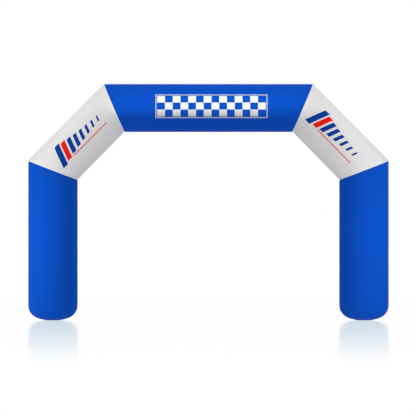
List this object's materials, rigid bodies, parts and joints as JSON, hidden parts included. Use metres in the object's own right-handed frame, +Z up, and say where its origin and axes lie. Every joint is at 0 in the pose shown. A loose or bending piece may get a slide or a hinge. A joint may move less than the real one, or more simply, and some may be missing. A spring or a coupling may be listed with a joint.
{
  "type": "inflatable arch",
  "caption": "Inflatable arch of air-filled cloth tubes: upright legs with rounded feet, sloping sections and a level beam, mitred and taped at the bends, for walking or running through.",
  "frame": {"origin": "on the floor, under the middle of the arch", "axes": "+X across the passage to the viewer's right, +Y through the passage away from the viewer, +Z up"},
  "size_m": [6, 0.82, 3.93],
  "materials": {
    "blue_cloth": "close plain-woven coated polyester, royal blue, low sheen",
    "white_cloth": "close plain-woven coated polyester, white, low sheen",
    "white_tape": "white woven seam tape with stitched edges"
  },
  "bodies": {
    "root": {"leg_left": "blue_cloth", "leg_right": "blue_cloth", "foot_left": "blue_cloth", "foot_right": "blue_cloth", "slope_left": "white_cloth", "slope_right": "white_cloth", "beam": "blue_cloth", "knee_tape_left": "white_tape", "knee_tape_right": "white_tape", "shoulder_tape_left": "white_tape", "shoulder_tape_right": "white_tape"}
  },
  "joints": []
}
